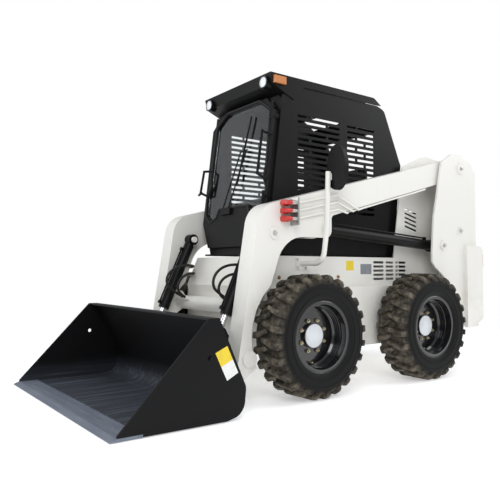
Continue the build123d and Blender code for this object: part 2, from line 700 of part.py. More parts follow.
edge_face = outline([(EDGE_BACK, 4), (EDGE_BACK, EDGE_TOP), (1930, EDGE_TOP), (EDGE_X, 6), (EDGE_X, 4)])
edge = slab(edge_face, -BUCKET_HALF, BUCKET_HALF)
keep("bucket_shell", bucket() - edge)
bolt_holes = [rod((BOLT_X, k * BOLT_PITCH, 0), (BOLT_X, k * BOLT_PITCH, 30), BOLT_R) for k in range(-3, 4)]
keep("cutting_edge", edge - Compound(children=bolt_holes))

os.makedirs("parts", exist_ok=True)
for name, shape in NODES.items():
    export_step(Pos(SHIFT_X, 0, 0) * shape, "parts/" + name + ".step")
print("wrote", len(NODES), "nodes, shift", SHIFT_X)
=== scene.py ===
import math

import bpy
from mathutils import Vector, Matrix


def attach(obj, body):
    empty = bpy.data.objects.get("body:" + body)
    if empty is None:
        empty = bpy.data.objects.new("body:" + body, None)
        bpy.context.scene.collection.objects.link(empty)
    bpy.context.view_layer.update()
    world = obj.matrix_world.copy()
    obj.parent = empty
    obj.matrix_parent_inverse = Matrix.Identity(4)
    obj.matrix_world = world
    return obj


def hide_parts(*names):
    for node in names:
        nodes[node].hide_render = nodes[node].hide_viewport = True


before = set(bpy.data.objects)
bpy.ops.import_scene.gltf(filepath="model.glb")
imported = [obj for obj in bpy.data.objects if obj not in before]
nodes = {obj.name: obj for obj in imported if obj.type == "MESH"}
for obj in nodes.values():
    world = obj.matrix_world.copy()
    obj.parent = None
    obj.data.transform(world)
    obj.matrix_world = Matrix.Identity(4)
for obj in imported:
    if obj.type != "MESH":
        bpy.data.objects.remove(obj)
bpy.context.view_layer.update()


# Studio
# A plain pale floor under plain soft light, with white behind it.
# The camera stands where the photograph was taken: low, ahead of the machine and to its left.

CAMERA_AT = (2.7218, 3.377, 0.8012)
CAMERA_TURN = 143.87
CAMERA_RISE = 1.95
CAMERA_LENS = 41.42
SENSOR_WIDTH = 36
FLOOR_SIZE = 60
FLOOR_COLOUR = (0.9, 0.9, 0.9)
FLOOR_GLOW = 0.38
FLOOR_FADE = (2.2, 5.5)
WHITE_LIGHT = (1, 1, 1, 1)
LAMPS_FACE = Vector((0, 0, 0.8))
LAMPS = {
    "key": ((4.5, 5.5, 5.0), 4.0, 260),
    "fill": ((5.5, -3.5, 3.0), 4.0, 95),
    "back": ((-5.0, 3.0, 4.5), 4.0, 130),
    "top": ((0.0, 0.0, 6.5), 5.0, 110),
}
SKY_COLOUR = (0.92, 0.95, 1.0, 1)
SKY_STRENGTH = 0.45


class Wire:
    """A socket that takes part in sums: an expression on wires adds its Math nodes."""

    def __init__(self, finish, socket):
        self.finish = finish
        self.socket = socket

    def math(self, operation, *others):
        return self.finish.node("ShaderNodeMath", {"operation": operation}, self, *others)

    def __add__(self, other):
        return self.math("ADD", other)

    def __radd__(self, other):
        return self.math("ADD", other)

    def __sub__(self, other):
        return self.math("SUBTRACT", other)

    def __rsub__(self, other):
        return self.finish.node("ShaderNodeMath", {"operation": "SUBTRACT"}, other, self)

    def __mul__(self, other):
        return self.math("MULTIPLY", other)

    def __rmul__(self, other):
        return self.math("MULTIPLY", other)

    def clamp(self):
        return self.finish.node("ShaderNodeClamp", {}, self)

    def ramp(self, low, high):
        """0 below low, 1 above high, and a smooth step between them."""
        settings = {"interpolation_type": "SMOOTHSTEP"}
        return self.finish.node("ShaderNodeMapRange", settings, self, low, high, 0.0, 1.0)


class Finish:
    """A material, and the nodes that give it what changes over the surface."""

    def __init__(self, name, colour=None, roughness=0.5, **sockets):
        self.material = bpy.data.materials.new(name)
        self.material.use_nodes = True
        self.tree = self.material.node_tree
        self.shader = self.tree.nodes["Principled BSDF"]
        if colour:
            self.set("Base Color", (*colour, 1))
        self.set("Roughness", roughness)
        for socket, value in sockets.items():
            self.set(socket.replace("_", " "), value)

    def set(self, socket, value, node=None):
        place = (node or self.shader).inputs[socket]
        if isinstance(value, Wire):
            self.tree.links.new(value.socket, place)
        else:
            place.default_value = value

    def node(self, kind, settings, *values, out=0, **named):
        """A node of a kind, with its settings first and then what its sockets hold."""
        made = self.tree.nodes.new(kind)
        for setting, value in settings.items():
            setattr(made, setting, value)
        for index, value in enumerate(values):
            if value is not None:
                self.set(index, value, made)
        for socket, value in named.items():
            self.set(socket.replace("_", " "), value, made)
        return Wire(self, made.outputs[out])

    def place(self):
        """Where a point of the piece is, in metres."""
        return self.node("ShaderNodeTexCoord", {}, out="Object")

    def axes(self, place):
        """The three coordinates of a place, apart."""
        split = self.node("ShaderNodeSeparateXYZ", {}, place)
        return [Wire(self, output) for output in split.socket.node.outputs]

    def stretched(self, scale, shift=(0, 0, 0)):
        """The piece's coordinates, shifted and then scaled along each axis."""
        return self.node("ShaderNodeMapping", {}, self.place(), shift, (0, 0, 0), scale)

    def noise(self, scale, detail=4.0, roughness=0.55, place=None):
        where = place or self.place()
        return self.node("ShaderNodeTexNoise", {}, where, None, scale, detail, roughness)

    def mix(self, factor, first, second):
        """The first colour where factor is 0, and the second where it is 1."""
        blend = self.node("ShaderNodeMix", {"data_type": "RGBA"}, factor, out=2)
        for socket, colour in ((6, first), (7, second)):
            value = colour if isinstance(colour, Wire) else (*colour, 1)
            self.set(socket, value, blend.socket.node)
        return blend

    def bump(self, height, distance, strength=1.0):
        normal = self.node("ShaderNodeBump", {}, Strength=strength, Distance=distance, Height=height)
        self.set("Normal", normal)

    def on(self, *names):
        """Give this finish to pieces that are there already."""
        for name in names:
            piece = bpy.data.objects[name]
            piece.data.materials.clear()
            piece.data.materials.append(self.material)


def deselect():
    bpy.ops.object.select_all(action="DESELECT")


world = bpy.data.worlds.new("studio")
bpy.context.scene.world = world
world.use_nodes = True
sky_tree = world.node_tree
sky_tree.nodes.clear()
sky_light = sky_tree.nodes.new("ShaderNodeBackground")
sky_light.inputs["Color"].default_value = SKY_COLOUR
sky_light.inputs["Strength"].default_value = SKY_STRENGTH
sky_white = sky_tree.nodes.new("ShaderNodeBackground")
sky_white.inputs["Color"].default_value = WHITE_LIGHT
rays = sky_tree.nodes.new("ShaderNodeLightPath")
seen = sky_tree.nodes.new("ShaderNodeMath")
seen.operation = "MAXIMUM"
sky_tree.links.new(rays.outputs["Is Camera Ray"], seen.inputs[0])
sky_tree.links.new(rays.outputs["Is Transmission Ray"], seen.inputs[1])
sky_mix = sky_tree.nodes.new("ShaderNodeMixShader")
sky_tree.links.new(seen.outputs[0], sky_mix.inputs[0])
sky_tree.links.new(sky_light.outputs[0], sky_mix.inputs[1])
sky_tree.links.new(sky_white.outputs[0], sky_mix.inputs[2])
sky_out = sky_tree.nodes.new("ShaderNodeOutputWorld")
sky_tree.links.new(sky_mix.outputs[0], sky_out.inputs["Surface"])

deselect()
bpy.ops.mesh.primitive_plane_add(size=FLOOR_SIZE, location=(0, 0, 0))
floor = bpy.context.object
floor.name = "studio_floor"
floor_finish = Finish("floor_paint", FLOOR_COLOUR, 0.9)
floor_x, floor_y, _ = floor_finish.axes(floor_finish.place())
far_off = (floor_x * floor_x + floor_y * floor_y).math("SQRT").ramp(*FLOOR_FADE)
floor_glow = floor_finish.node("ShaderNodeEmission", {}, WHITE_LIGHT, FLOOR_GLOW)
floor_white = floor_finish.node("ShaderNodeEmission", {}, WHITE_LIGHT, 1.0)
floor_shader = Wire(floor_finish, floor_finish.shader.outputs[0])
floor_sum = floor_finish.node("ShaderNodeAddShader", {}, floor_shader, floor_glow)
floor_blend = floor_finish.node("ShaderNodeMixShader", {}, far_off, floor_sum, floor_white)
floor_out = floor_finish.tree.nodes["Material Output"]
floor_finish.set("Surface", floor_blend, floor_out)
floor_finish.on("studio_floor")

for lamp_name, (lamp_at, lamp_size, lamp_watts) in LAMPS.items():
    lamp_data = bpy.data.lights.new(lamp_name, "AREA")
    lamp_data.size = lamp_size
    lamp_data.energy = lamp_watts
    lamp = bpy.data.objects.new(lamp_name, lamp_data)
    lamp.location = lamp_at
    towards = LAMPS_FACE - Vector(lamp_at)
    lamp.rotation_euler = towards.to_track_quat("-Z", "Y").to_euler()
    bpy.context.scene.collection.objects.link(lamp)

camera_data = bpy.data.cameras.new("camera")
camera_data.lens = CAMERA_LENS
camera_data.sensor_width = SENSOR_WIDTH
camera = bpy.data.objects.new("camera", camera_data)
camera.location = CAMERA_AT
camera.rotation_euler = (math.radians(90 + CAMERA_RISE), 0, math.radians(CAMERA_TURN))
bpy.context.scene.collection.objects.link(camera)
bpy.context.scene.camera = camera
bpy.context.scene.view_settings.view_transform = "Standard"


# White enamel: frame, towers, arms
# Welded steel plate, sprayed off-white. The paint has a faint orange peel, and road dust
# has settled on it from the wheels upwards.

WHITE = (0.80, 0.79, 0.745)
ROAD_DUST = (0.50, 0.46, 0.38)

enamel = Finish("off_white_enamel", roughness=0.35, Coat_Weight=0.25)
height = enamel.axes(enamel.place())[2]
low_down = 1 - height.ramp(0.15, 0.95)
patches = enamel.noise(3.5, 6.0, 0.62).ramp(0.42, 0.75)
streaks = enamel.noise(1.0, 5.0, 0.6, enamel.stretched((14, 14, 1.6))).ramp(0.5, 0.85)
dust = (low_down * patches * 0.55 + streaks * 0.06).clamp()
enamel.set("Base Color", enamel.mix(dust, WHITE, ROAD_DUST))
enamel.set("Roughness", dust * 0.4 + enamel.noise(9.0) * 0.12 + 0.26)
enamel.bump(enamel.noise(160.0, 2.0), 0.0004, 0.35)


def cad_pieces(*starts):
    """The CAD pieces whose names begin so."""
    return [name for name in nodes if name.startswith(starts)]


enamel.on(*cad_pieces("chassis", "chaincases", "towers", "rear_quarters", "rear_bumper", "lift_arm_",
                      "arm_cross_tube", "mirror_pole", "arm_pipes"))


# Black paint: cab, quick attach, cylinders' barrels, rear door
# Folded and welded sheet under a satin black powder coat. The coat has a fine grain and is a
# little greyer where dust has dulled it.

BLACK = (0.005, 0.005, 0.0055)
BLACK_DUST = (0.022, 0.021, 0.019)

satin = Finish("satin_black_coat", roughness=0.4, Specular_IOR_Level=0.14)
dulled = satin.noise(2.2, 6.0, 0.6).ramp(0.4, 0.9)
satin.set("Base Color", satin.mix(dulled * 0.35, BLACK, BLACK_DUST))
satin.set("Roughness", dulled * 0.18 + satin.noise(30.0) * 0.08 + 0.34)
satin.bump(satin.noise(420.0, 2.0), 0.0003, 0.3)
satin.on("mirror", *cad_pieces("cab_", "engine_hood", "rear_door", "lift_barrel", "tilt_barrel",
                               "quick_attach", "axle_housings", "control_levers", "door_wiper"))


# Gloss rims
# Steel dishes, pressed and welded to their barrels, in gloss black that has dulled in
# patches.

RIM_BLACK = (0.008, 0.008, 0.009)

gloss = Finish("gloss_black_rim", RIM_BLACK, 0.14, Coat_Weight=0.6)
gloss.set("Roughness", gloss.noise(12.0).ramp(0.45, 0.8) * 0.14 + 0.12)
gloss.on(*cad_pieces("rim_"))


# Tyres
# Moulded rubber with two rows of hooked lugs that run down over the shoulder, half a pitch
# apart, and a raised rib round each side wall. Dry soil has turned the tread brown.

RUBBER = (0.008, 0.008, 0.008)
SOIL = (0.220, 0.190, 0.145)
SOILED_RADIUS = (0.315, 0.375)
LUGS_A_ROW = 24
LUG_TOP = 0.3865
LUG_REACH = 0.130
LUG_OVERLAP = 0.014
LUG_HALF_WIDTH = 0.017
LUG_WIDENING = 0.008
LUG_TAPER = 0.22
LUG_NOSE = 0.006
LUG_SLANT = 0.034
LUG_DROP = 0.030
TREAD_FLOOR = 0.360
BEAD_RADIUS = 0.213
HALF_SECTION = 0.130
RIB_RADII = (0.262, 0.306)
RIB_THICKNESS = 0.0028
ROUND_STEPS = 96
ABOUT_Y = (math.pi / 2, 0, 0)
CORNERS = {
    "front_left": (0.262, 1),
    "front_right": (0.262, -1),
    "rear_left": (-0.849, 1),
    "rear_right": (-0.849, -1),
}
AXLE_Z = 0.3865
WHEEL_Y = 0.660


def join(pieces):
    deselect()
    for piece in pieces:
        piece.select_set(True)
    bpy.context.view_layer.objects.active = pieces[0]
    bpy.ops.object.join()
    return pieces[0]


def settle(piece, name, body, finish, smooth=35):
    """Apply what shapes a piece, put its place into its mesh and let it ride on a body."""
    deselect()
    piece.select_set(True)
    bpy.context.view_layer.objects.active = piece
    for modifier in list(piece.modifiers):
        bpy.ops.object.modifier_apply(modifier=modifier.name)
    bpy.ops.object.transform_apply(location=True, rotation=True, scale=True)
    bpy.ops.object.shade_smooth_by_angle(angle=math.radians(smooth))
    piece.name = name
    piece.data.name = name
    piece.data.materials.clear()
    piece.data.materials.append(finish.material)
    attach(piece, body)
    return piece


def copy_of(piece, matrix):
    """A second piece with a mesh of its own, moved by a matrix."""
    twin = bpy.data.objects.new("copy", piece.data.copy())
    twin.data.transform(matrix)
    if matrix.determinant() < 0:
        twin.data.flip_normals()
    bpy.context.scene.collection.objects.link(twin)
    return twin


def rounded(width, segments=2):
    """Bevel and apply the active piece's sharp edges."""
    piece = bpy.context.object
    bevel = piece.modifiers.new("rounded", "BEVEL")
    bevel.width = width
    bevel.segments = segments
    bevel.limit_method = "ANGLE"
    bpy.ops.object.modifier_apply(modifier=bevel.name)
    return piece


def ring(at, radius, thickness):
    """Thin round bead about an axis along Y."""
    deselect()
    bpy.ops.mesh.primitive_torus_add(
        location=at, rotation=ABOUT_Y, major_radius=radius, minor_radius=thickness,
        major_segments=ROUND_STEPS, minor_segments=8)
    return bpy.context.object


def hooked_lug():
    """One lug at the top of the wheel: a bar that slants off the middle, then runs straight."""
    deselect()
    bpy.ops.mesh.primitive_grid_add(x_subdivisions=3, y_subdivisions=8, size=1)
    bpy.ops.object.mode_set(mode="EDIT")
    bpy.ops.mesh.extrude_region_move(TRANSFORM_OT_translate={"value": (0, 0, 1)})
    bpy.ops.mesh.select_all(action="SELECT")
    bpy.ops.mesh.normals_make_consistent(inside=False)
    bpy.ops.object.mode_set(mode="OBJECT")
    bar = bpy.context.object
    for vertex in bar.data.vertices:
        across, along, up = vertex.co.x * 2, vertex.co.y + 0.5, vertex.co.z
        half_width = (LUG_HALF_WIDTH + LUG_WIDENING * along) * (1 - LUG_TAPER * up)
        round_end = LUG_NOSE * (1 - across * across) * (along < 0.05)
        slant = LUG_SLANT * min(along / 0.7, 1) ** 0.85
        shoulder = max(0, along - 0.78) / 0.22
        top = LUG_TOP - LUG_DROP * shoulder ** 1.4
        foot = TREAD_FLOOR - 0.010 - 0.022 * shoulder
        radius = foot + (top - foot) * up
        turn = (slant + across * half_width) / LUG_TOP
        vertex.co = (radius * math.sin(turn),
                     -LUG_OVERLAP - round_end + (LUG_REACH + LUG_OVERLAP) * along,
                     radius * math.cos(turn))
    return rounded(0.003)


deselect()
bpy.ops.mesh.primitive_torus_add(
    rotation=ABOUT_Y, major_radius=1, minor_radius=0.25, major_segments=ROUND_STEPS,
    minor_segments=32)
bpy.ops.object.transform_apply(location=True, rotation=True, scale=True)
carcass = bpy.context.object
middle = (BEAD_RADIUS + TREAD_FLOOR) / 2
for vertex in carcass.data.vertices:
    out = math.hypot(vertex.co.x, vertex.co.z)
    turn = math.atan2(vertex.co.y, out - 1)
    cosine, sine = math.cos(turn), math.sin(turn)
    radius = middle + (TREAD_FLOOR - middle) * math.copysign(abs(cosine) ** 0.5, cosine)
    across = HALF_SECTION * math.copysign(abs(sine) ** 0.42, sine)
    vertex.co = (vertex.co.x / out * radius, across, vertex.co.z / out * radius)
ribs = [ring((0, side * (HALF_SECTION - 0.0005), 0), radius, RIB_THICKNESS)
        for side in (1, -1) for radius in RIB_RADII]
first_lug = hooked_lug()
lugs = []
for count in range(LUGS_A_ROW):
    for side, offset in ((1, 0), (-1, 0.5)):
        turn = Matrix.Rotation(2 * math.pi * (count + offset) / LUGS_A_ROW, 4, "Y")
        lugs.append(copy_of(first_lug, turn @ Matrix.Diagonal((1, side, 1, 1))))
bpy.data.objects.remove(first_lug)
master_tyre = join([carcass] + ribs + lugs)
for corner, (axle_x, side) in CORNERS.items():
    rubber = Finish("rubber_" + corner, roughness=0.7, Specular_IOR_Level=0.15)
    x, _, z = rubber.axes(rubber.stretched((1, 1, 1), (-axle_x, -side * WHEEL_Y, -AXLE_Z)))
    tread = (x * x + z * z).math("SQRT").ramp(*SOILED_RADIUS)
    soil = (tread * (rubber.noise(22.0, 8.0, 0.65).ramp(0.38, 0.72) * 0.7 + 0.15)).clamp()
    rubber.set("Base Color", rubber.mix(soil, RUBBER, SOIL))
    rubber.set("Roughness", soil * 0.3 + 0.55)
    rubber.bump(rubber.noise(90.0, 6.0, 0.7), 0.0015, 0.5)
    at_axle = Matrix.Translation((axle_x, side * WHEEL_Y, AXLE_Z)) @ Matrix.Diagonal((1, side, 1, 1))
    tyre = settle(copy_of(master_tyre, at_axle), "lugged_tyre_" + corner, "wheel_" + corner,
                  rubber)
    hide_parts("tyre_" + corner)
bpy.data.objects.remove(master_tyre)


# Wheel fittings
# Each dish has rolled steps in its barrel, eight zinc plated nuts on their studs, a pale
# pressed cap over the hub and a plated valve stem.

RIM_STEPS = ((0.1875, 0.694), (0.1885, 0.709), (0.1900, 0.726), (0.2180, 0.770))
RIM_BEAD = 0.0035
HUB_FACE_Y = 0.688
HUB_CAP_RADIUS = 0.074
HUB_CAP_DEPTH = 0.006
NUTS_A_WHEEL = 8
NUT_CIRCLE = 0.1016
NUT_RADIUS = 0.0135
NUT_HEIGHT = 0.014
STUD_RADIUS = 0.007
STUD_LENGTH = 0.022
STUD_OUT = 0.013
VALVE_RADIUS = 0.006
VALVE_LENGTH = 0.03
VALVE_OUT = 0.014
VALVE_AHEAD = 0.02
VALVE_DROP = 0.165
DISC_Y = 0.667


def mottled(name, scale, first, second, spread=None, **sockets):
    """A finish whose colour wanders between two, in patches as fine as its noise."""
    finish = Finish(name, **sockets)
    patch = finish.noise(scale)
    if spread:
        patch = patch.ramp(*spread)
    finish.set("Base Color", finish.mix(patch, first, second))
    return finish


def drum(at, axis, radius, depth, bevel, sides):
    """Short round piece with rounded edges, about an axis."""
    deselect()
    turn = {"Y": ABOUT_Y, "Z": (0, 0, 0)}[axis]
    bpy.ops.mesh.primitive_cylinder_add(vertices=sides, radius=radius, depth=depth, location=at,
                                        rotation=turn)
    return rounded(bevel)


zinc = mottled("yellow_zinc", 60.0, (0.62, 0.55, 0.38), (0.42, 0.36, 0.24), (0.4, 0.7),
               roughness=0.35, Metallic=1.0)
cap_finish = mottled("pale_hub_cap", 14.0, (0.74, 0.77, 0.80), (0.60, 0.62, 0.64), (0.45, 0.8),
                     roughness=0.3, Coat_Weight=0.3)
for corner, (axle_x, side) in CORNERS.items():
    body = "wheel_" + corner
    steps = [ring((axle_x, side * y, AXLE_Z), radius, RIM_BEAD) for radius, y in RIM_STEPS]
    settle(join(steps), "rim_steps_" + corner, body, gloss)
    cap = drum((axle_x, side * (HUB_FACE_Y + 0.002), AXLE_Z), "Y", HUB_CAP_RADIUS, HUB_CAP_DEPTH,
               0.0025, 64)
    settle(cap, "hub_cap_" + corner, body, cap_finish)
    fixings = []
    for count in range(NUTS_A_WHEEL):
        turn = 2 * math.pi * (count + 0.5) / NUTS_A_WHEEL
        x, z = axle_x + NUT_CIRCLE * math.cos(turn), AXLE_Z + NUT_CIRCLE * math.sin(turn)
        fixings += [
            drum((x, side * (DISC_Y + NUT_HEIGHT / 2), z), "Y", NUT_RADIUS, NUT_HEIGHT, 0.0015, 6),
            drum((x, side * (DISC_Y + STUD_OUT), z), "Y", STUD_RADIUS, STUD_LENGTH, 0.001, 12),
        ]
    settle(join(fixings), "wheel_nuts_" + corner, body, zinc)
    valve_at = (axle_x + VALVE_AHEAD, side * (DISC_Y + VALVE_OUT), AXLE_Z - VALVE_DROP)
    valve = drum(valve_at, "Y", VALVE_RADIUS, VALVE_LENGTH, 0.002, 16)
    settle(valve, "tyre_valve_" + corner, body, zinc)


# Bucket
# Welded plate in black paint, rubbed to bluish steel on its floor. The cutting edge is a
# grey-blue bar held by seven plough bolts, with a weld bead along its seam.

BUCKET_BLACK = (0.006, 0.006, 0.0065)
RUBBED_STEEL = (0.15, 0.17, 0.21)
EDGE_STEEL = (0.14, 0.16, 0.205)
EDGE_WORN = (0.22, 0.245, 0.29)
BUCKET_SIDE_Y = 0.852
SIDE_PLATE_Y = (0.838, 0.842)
RUBBED_HEIGHT = (0.02, 0.16)
EDGE_TOP = 0.020
EDGE_SUNK = 0.001
EDGE_SEAM_X = 1.5115
EDGE_BOLT_X = 1.5745
EDGE_BOLT_PITCH = 0.222
EDGE_BOLTS_A_SIDE = 3

paint = Finish("bucket_black", roughness=0.42, Specular_IOR_Level=0.14)
scratches = paint.noise(1.0, 8.0, 0.7, paint.stretched((1.5, 40, 40))).ramp(0.45, 0.75)
_, across, height = paint.axes(paint.place())
between_sides = 1 - across.math("ABSOLUTE").ramp(*SIDE_PLATE_Y)
rubbed = (1 - height.ramp(*RUBBED_HEIGHT)) * (scratches * 0.6 + 0.25) * between_sides
paint.set("Base Color", paint.mix(rubbed.clamp(), BUCKET_BLACK, RUBBED_STEEL))
paint.set("Roughness", 0.42 - rubbed * 0.1)
paint.bump(paint.noise(140.0, 3.0), 0.0004, 0.3)
paint.on("bucket_shell")
edge_steel = Finish("edge_blue_grey", roughness=0.45, Metallic=0.2)
worn = edge_steel.noise(1.0, 8.0, 0.7, edge_steel.stretched((30, 3, 30))).ramp(0.4, 0.8)
edge_steel.set("Base Color", edge_steel.mix(worn, EDGE_STEEL, EDGE_WORN))
edge_steel.on("cutting_edge")
plough_bolts = [
    drum((EDGE_BOLT_X, count * EDGE_BOLT_PITCH, EDGE_TOP - EDGE_SUNK), "Z", 0.0086, 0.006, 0.0012, 24)
    for count in range(-EDGE_BOLTS_A_SIDE, EDGE_BOLTS_A_SIDE + 1)
]
settle(join(plough_bolts), "edge_bolts", "bucket", edge_steel)
weld = drum((EDGE_SEAM_X, 0, EDGE_TOP - EDGE_SUNK), "Y", 0.005, 2 * BUCKET_SIDE_Y - 0.03, 0.002, 12)
settle(weld, "edge_weld", "bucket", paint)


# Blank plates
# Thin film plates, with nothing printed on them: a yellow and white one on the bucket's
# side, a yellow and a grey one on the frame.

FRAME_SIDE_Y = 0.450
FILM_THICKNESS = 0.001
FILM_LIFT = 0.0004
FILM_CORNERS = (0, 1, 3, 2)
FILM_COLOURS = (
    ("yellow_film", (0.80, 0.60, 0.03), (0.62, 0.46, 0.05)),
    ("white_film", (0.80, 0.80, 0.78), (0.62, 0.62, 0.60)),
    ("grey_film", (0.22, 0.24, 0.26), (0.30, 0.31, 0.32)),
)


def film(name, corners, y, body, finish):
    """Four-cornered plate, a millimetre thick, on a side face."""
    deselect()
    bpy.ops.mesh.primitive_plane_add(size=1)
    piece = bpy.context.object
    for index, (x, z) in zip(FILM_CORNERS, corners):
        piece.data.vertices[index].co = (x, y + FILM_LIFT, z)
    thick = piece.modifiers.new("thick", "SOLIDIFY")
    thick.thickness = FILM_THICKNESS
    thick.offset = 0
    settle(piece, name, body, finish)


yellow_film, white_film, grey_film = [
    mottled(film_name, 25.0, fresh, faded, (0.5, 0.85), roughness=0.45)
    for film_name, fresh, faded in FILM_COLOURS
]
film("bucket_plate_upper", [(1.1005, 0.368), (1.0265, 0.400), (0.9915, 0.327), (1.064, 0.293)],
     BUCKET_SIDE_Y, "bucket", yellow_film)
film("bucket_plate_lower", [(1.064, 0.293), (0.9915, 0.327), (0.9565, 0.254), (1.0275, 0.218)],
     BUCKET_SIDE_Y, "bucket", white_film)
film("frame_plate_yellow", [(-0.268, 0.865), (-0.344, 0.865), (-0.344, 0.795), (-0.268, 0.795)],
     FRAME_SIDE_Y, "machine", yellow_film)
film("frame_plate_grey", [(-0.416, 0.842), (-0.533, 0.842), (-0.533, 0.768), (-0.416, 0.768)],
     FRAME_SIDE_Y, "machine", grey_film)


# Door seal
# A black rubber bead, pressed round the door's window against its frame. It is one closed
# loop, and it turns each corner of the window in a small bend.

FRONT_LEAN = math.radians(7.1)
FRONT_AT = (0.3785, 1.200)
DOOR_FACE = 0.033
WINDOW = [(0.205, 1.976), (0.332, 1.888), (0.344, 1.500), (0.330, 1.420), (0.368, 1.348),
          (0.360, 1.198), (0.288, 1.146), (0.208, 1.176), (0.180, 1.240)]
SEAL_RADIUS = 0.008
SEAL_LIFT = 0.001
SEAL_CORNER = 0.035


def on_front(across, z, out):
    """Point before the cab's leaning front."""
    slope = (z - FRONT_AT[1]) / math.cos(FRONT_LEAN)
    return Vector((FRONT_AT[0] - math.sin(FRONT_LEAN) * slope + math.cos(FRONT_LEAN) * out, across,
                   FRONT_AT[1] + math.cos(FRONT_LEAN) * slope + math.sin(FRONT_LEAN) * out))


loop = WINDOW + [(-across, z) for across, z in reversed(WINDOW)]
corners = [on_front(across, z, DOOR_FACE + SEAL_LIFT) for across, z in loop]
bead_points = []
for index, corner_at in enumerate(corners):
    before = (corners[index - 1] - corner_at).normalized()
    after = (corners[(index + 1) % len(corners)] - corner_at).normalized()
    bead_points += [corner_at + before * SEAL_CORNER, corner_at, corner_at + after * SEAL_CORNER]
bead = bpy.data.curves.new("door_seal_line", "CURVE")
bead.dimensions = "3D"
bead.bevel_depth = SEAL_RADIUS
bead.bevel_resolution = 3
bead.resolution_u = 6
bead_line = bead.splines.new("NURBS")
bead_line.points.add(len(bead_points) - 1)
for point, bead_at in zip(bead_line.points, bead_points):
    point.co = (*bead_at, 1)
bead_line.use_cyclic_u = True
bead_line.order_u = 3
seal = bpy.data.objects.new("door_seal", bead)
bpy.context.scene.collection.objects.link(seal)
deselect()
seal.select_set(True)
bpy.context.view_layer.objects.active = seal
bpy.ops.object.convert(target="MESH")
seal_rubber = mottled("seal_rubber", 40.0, (0.010, 0.010, 0.011), (0.022, 0.022, 0.022),
                      roughness=0.6, Specular_IOR_Level=0.3)
settle(bpy.context.object, "door_seal", "cab_door", seal_rubber, 60)


# Work lamps
# Round lamps under the visor. Each has a satin black body, a pressed rim in gloss black and
# a clear lens, moulded as a shallow dome.

SIDES = ((1, "left"), (-1, "right"))
LAMP_FACE = 0.3965
LAMP_Y = 0.340
LAMP_Z = 2.058
LAMP_RIM_RADIUS = 0.0385
LAMP_RIM_THICKNESS = 0.0045
LENS_RADIUS = 0.036
LENS_DOME = 0.28

lens_clear = mottled("clear_lens", 70.0, (0.86, 0.89, 0.92), (0.66, 0.70, 0.74), (0.3, 0.7),
                     roughness=0.1, Coat_Weight=1.0)
satin.on("work_lamps")
for side, side_name in SIDES:
    lamp_face = (LAMP_FACE, side * LAMP_Y, LAMP_Z)
    deselect()
    bpy.ops.mesh.primitive_torus_add(
        location=lamp_face, rotation=(0, math.pi / 2, 0), major_radius=LAMP_RIM_RADIUS,
        minor_radius=LAMP_RIM_THICKNESS, major_segments=64, minor_segments=12)
    settle(bpy.context.object, "lamp_rim_" + side_name, "machine", gloss)
    deselect()
    bpy.ops.mesh.primitive_uv_sphere_add(
        segments=48, ring_count=24, radius=LENS_RADIUS, location=lamp_face, scale=(LENS_DOME, 1, 1))
    settle(bpy.context.object, "lamp_lens_" + side_name, "machine", lens_clear, 80)


# Bolts and plugs
# A zinc plated hexagon bolt on a washer holds each pivot's pin from outside, and one holds
# the tower. Three small ones hold the mirror's foot, and two copper plugs close each frame
# side.

PIVOT_BOLTS = (
    ("tilt_pin", "lift_arms", 0.5075, 1.027, 0.606),
    ("lift_pin", "lift_arms", 0.0665, 1.073, 0.606),
    ("arm_pin", "machine", -1.3935, 1.620, 0.642),
    ("lift_base_pin", "machine", -1.1545, 0.991, 0.642),
    ("tower", "machine", -1.380, 1.114, 0.642),
)
PIVOT_BOLT_SIZE = 0.0125
MIRROR_FOOT_BOLTS = ((0.1195, 0.814), (0.1935, 0.814), (0.1935, 0.870))
MIRROR_FOOT_Y = 0.456
MIRROR_BOLT_SIZE = 0.007
PLUG_PLACES = (0.350, -0.187)
PLUG_Z = 0.750
PLUG_SIZE = 0.009

pale_zinc = mottled("pale_zinc", 50.0, (0.66, 0.66, 0.63), (0.46, 0.45, 0.42), (0.4, 0.7),
                    roughness=0.4, Metallic=0.6)


def bolt(at, size):
    """Hexagon head on its washer, standing out from a side face at a point."""
    x, y, z = at
    out = math.copysign(size, y)
    washer = drum((x, y + out * 0.12, z), "Y", size * 1.44, size * 0.24, size * 0.06, 32)
    head = drum((x, y + out * 0.68, z), "Y", size, size * 0.96, size * 0.1, 6)
    return [washer, head]


for name, body, x, z, face in PIVOT_BOLTS:
    for side, side_name in SIDES:
        pivot_bolt = join(bolt((x, side * face, z), PIVOT_BOLT_SIZE))
        settle(pivot_bolt, name + "_bolt_" + side_name, body, pale_zinc)
foot_bolts = [part for x, z in MIRROR_FOOT_BOLTS for part in bolt((x, MIRROR_FOOT_Y, z), MIRROR_BOLT_SIZE)]
settle(join(foot_bolts), "mirror_foot_bolts", "machine", pale_zinc)
copper = mottled("copper_plugs", 60.0, (0.55, 0.30, 0.16), (0.30, 0.15, 0.08), (0.4, 0.7),
                 roughness=0.35, Metallic=1.0)
for side, side_name in SIDES:
    plugs = [part for x in PLUG_PLACES for part in bolt((x, side * FRAME_SIDE_Y, PLUG_Z), PLUG_SIZE)]
    settle(join(plugs), "frame_plugs_" + side_name, "machine", copper)


# Seat
# Moulded foam under grained black vinyl. The base and the back are crowned, with faces that
# fall away to rolled edges, and both stand on the seat base.

SEAT_PADS = (((-0.7085, -0.235, 1.052), (-0.2385, 0.235, 1.148)),
             ((-0.7685, -0.225, 1.150), (-0.6785, 0.225, 1.612)))
PAD_EDGE = 0.03
PAD_FALL = 0.22

